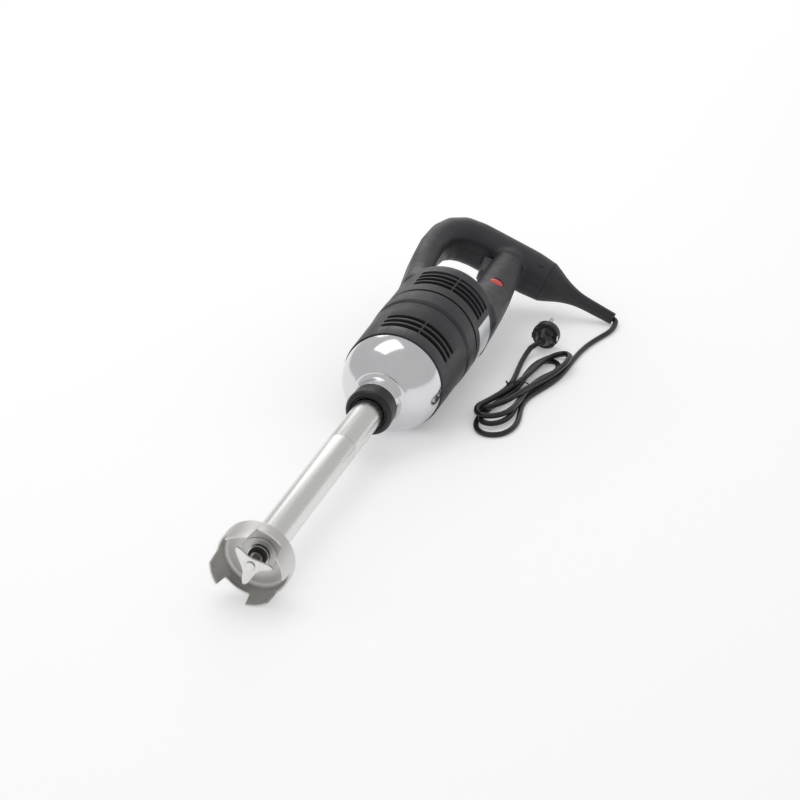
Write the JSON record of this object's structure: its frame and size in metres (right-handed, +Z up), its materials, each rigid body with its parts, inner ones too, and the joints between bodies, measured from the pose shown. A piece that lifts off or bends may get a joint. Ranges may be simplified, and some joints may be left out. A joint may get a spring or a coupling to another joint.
{
  "type": "immersion blender",
  "caption": "Commercial immersion blender with a bell blade guard, steel shaft tube, polished nose, black motor housing, D-shaped handle and coiled mains lead.",
  "frame": {"origin": "centre of the machine's footprint on the surface it lies on, without the free lead, at surface height", "axes": "+Y along the machine from the blade end to the handle end, +Z up, +X towards the side where the lead leaves"},
  "size_m": [0.2423, 0.8303, 0.1285],
  "materials": {
    "black_rubber": "smooth",
    "board_green": "solder-masked board",
    "bright_steel": "bright turned steel",
    "bronze": "sintered bronze",
    "brush_board": "moulded",
    "brushed_steel": "brushed stainless steel",
    "capacitor": "moulded",
    "carbon": "pressed carbon",
    "cast_aluminium": "die cast",
    "commutator_copper": "turned copper bars",
    "copper": "enamelled copper wire",
    "cord_black": "smooth sheath",
    "core_steel": "varnished laminations",
    "dark_steel": "dull turned steel",
    "fan_plastic": "moulded",
    "inner_plastic": "moulded",
    "pin_steel": "nickel plated",
    "plate": "satin, blank",
    "plug_black": "moulded",
    "polished_nose": "polished",
    "red_button": "semi-gloss",
    "satin_blade": "satin ground steel",
    "shell_black": "satin moulded",
    "trigger_black": "satin moulded",
    "wire": "insulated"
  },
  "bodies": {
    "body": {"blade_guard": "brushed_steel", "lower_tube": "brushed_steel", "tube_joint": "inner_plastic", "upper_sleeve": "brushed_steel", "lower_bush": "bronze", "middle_bush": "bronze", "upper_bush": "bronze", "shaft_seal": "black_rubber", "seal_ring": "bright_steel", "collar": "black_rubber", "nose_cover": "polished_nose", "nose_gasket": "black_rubber", "front_bearing_outer": "bright_steel", "rear_bearing_outer": "bright_steel", "fan_baffle": "inner_plastic", "stator_core": "core_steel", "field_windings": "copper", "rear_bracket": "cast_aluminium", "brush_holders": "brush_board", "carbon_brushes": "carbon", "brush_springs": "bright_steel", "lower_housing": "shell_black", "middle_band": "shell_black", "handle_shell_front": "shell_black", "handle_shell_back": "shell_black", "shell_screws": "bright_steel", "screw_plugs": "shell_black", "rating_plate": "plate", "control_board": "board_green", "suppression_capacitor": "capacitor", "switch_module": "inner_plastic", "wiring": "wire", "trigger_pin": "bright_steel", "trigger_spring": "bright_steel", "lock_spring": "bright_steel", "cord_boot": "black_rubber", "strain_relief": "black_rubber", "cord_clamp": "inner_plastic", "power_cord": "cord_black", "cord_hank": "cord_black", "cord_tie": "plug_black", "plug_body": "plug_black", "plug_pins": "pin_steel", "plug_contacts": "pin_steel"},
    "rotor": {"motor_shaft": "dark_steel", "rotor_core": "core_steel", "rotor_windings": "copper", "commutator": "commutator_copper", "fan": "fan_plastic", "front_bearing_inner": "bright_steel", "rear_bearing_inner": "bright_steel", "upper_coupling": "dark_steel", "lower_coupling": "dark_steel", "drive_shaft": "dark_steel", "blade": "satin_blade", "blade_rivet": "bright_steel"},
    "trigger": {"trigger": "trigger_black"},
    "lock_button": {"lock_button": "red_button"}
  },
  "joints": [
    {"name": "rotor_spin", "type": "hinge", "parent": "body", "child": "rotor", "pos_m": [-0.0415, -0.1137, 0.0533], "axis": [0, 0.999, 0.0445], "continuous": true},
    {"name": "trigger_press", "type": "hinge", "parent": "body", "child": "trigger", "pos_m": [-0.01771, 0.3653, 0.06412], "axis": [0.4038, -0.0407, 0.9139], "range_deg": [0, 6], "stiffness_Nm_per_rad": 1.5, "springref_deg": -5.73, "deforming": ["trigger_spring"]},
    {"name": "lock_press", "type": "slide", "parent": "body", "child": "lock_button", "axis": [-0.4038, 0.0407, -0.9139], "range_m": [0, 0.003], "stiffness_N_per_m": 600, "springref_m": -0.001, "deforming": ["lock_spring"]}
  ]
}
